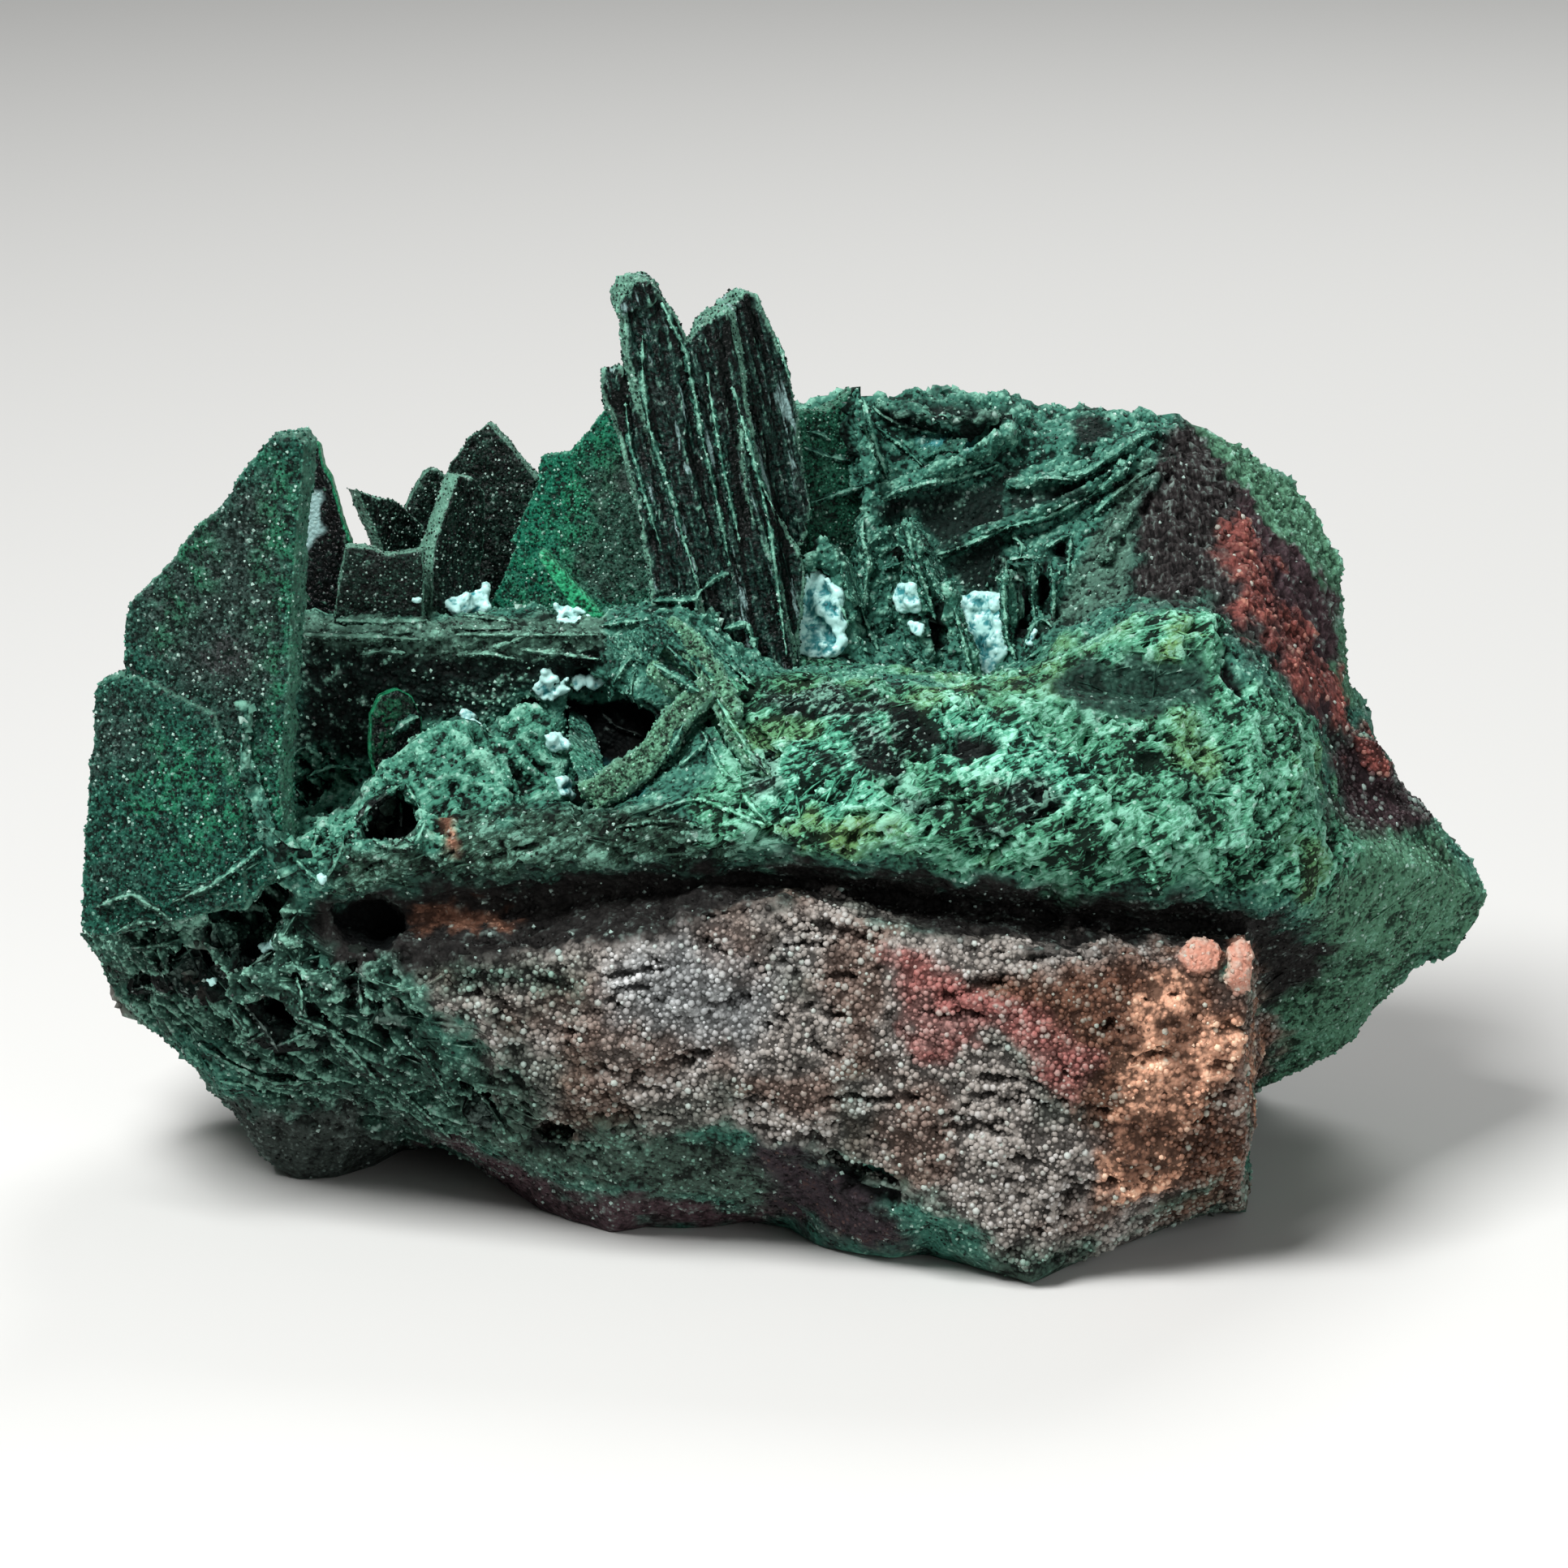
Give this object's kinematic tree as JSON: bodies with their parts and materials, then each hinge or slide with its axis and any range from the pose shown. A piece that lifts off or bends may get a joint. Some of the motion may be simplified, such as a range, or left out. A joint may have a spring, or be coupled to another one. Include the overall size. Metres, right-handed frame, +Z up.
{
  "type": "malachite pseudomorph specimen",
  "caption": "Free-standing mineral specimen: a hollow matrix with velvety tabular malachite crystals, after azurite, standing in its open front.",
  "frame": {"origin": "middle of the bounding box, on the plane that the specimen rests on", "axes": "+X along the specimen to the right as seen from its open front, +Y to the back, +Z up"},
  "size_m": [0.1098, 0.063, 0.0725],
  "materials": {
    "rock": "rough grainy iron-brown rock with green crusts",
    "sparkling_malachite": "dark grey-green druse with sparkling grains",
    "dark_malachite": "near-black green faces with pale green edges",
    "green_malachite": "green velvet",
    "banded_malachite": "striated dark green with pale blue-grey streaks"
  },
  "bodies": {
    "root": {"matrix": "rock", "left_plate": "sparkling_malachite", "left_back_plate": "dark_malachite", "gable_plate": "dark_malachite", "block_plate": "dark_malachite", "edge_plate": "dark_malachite", "pointed_plate": "dark_malachite", "back_blade": "dark_malachite", "dark_flake": "dark_malachite", "velvet_plate": "green_malachite", "green_lath": "green_malachite", "fan_plate": "green_malachite", "spire_cluster": "banded_malachite", "crossed_blades": "banded_malachite"}
  },
  "joints": []
}
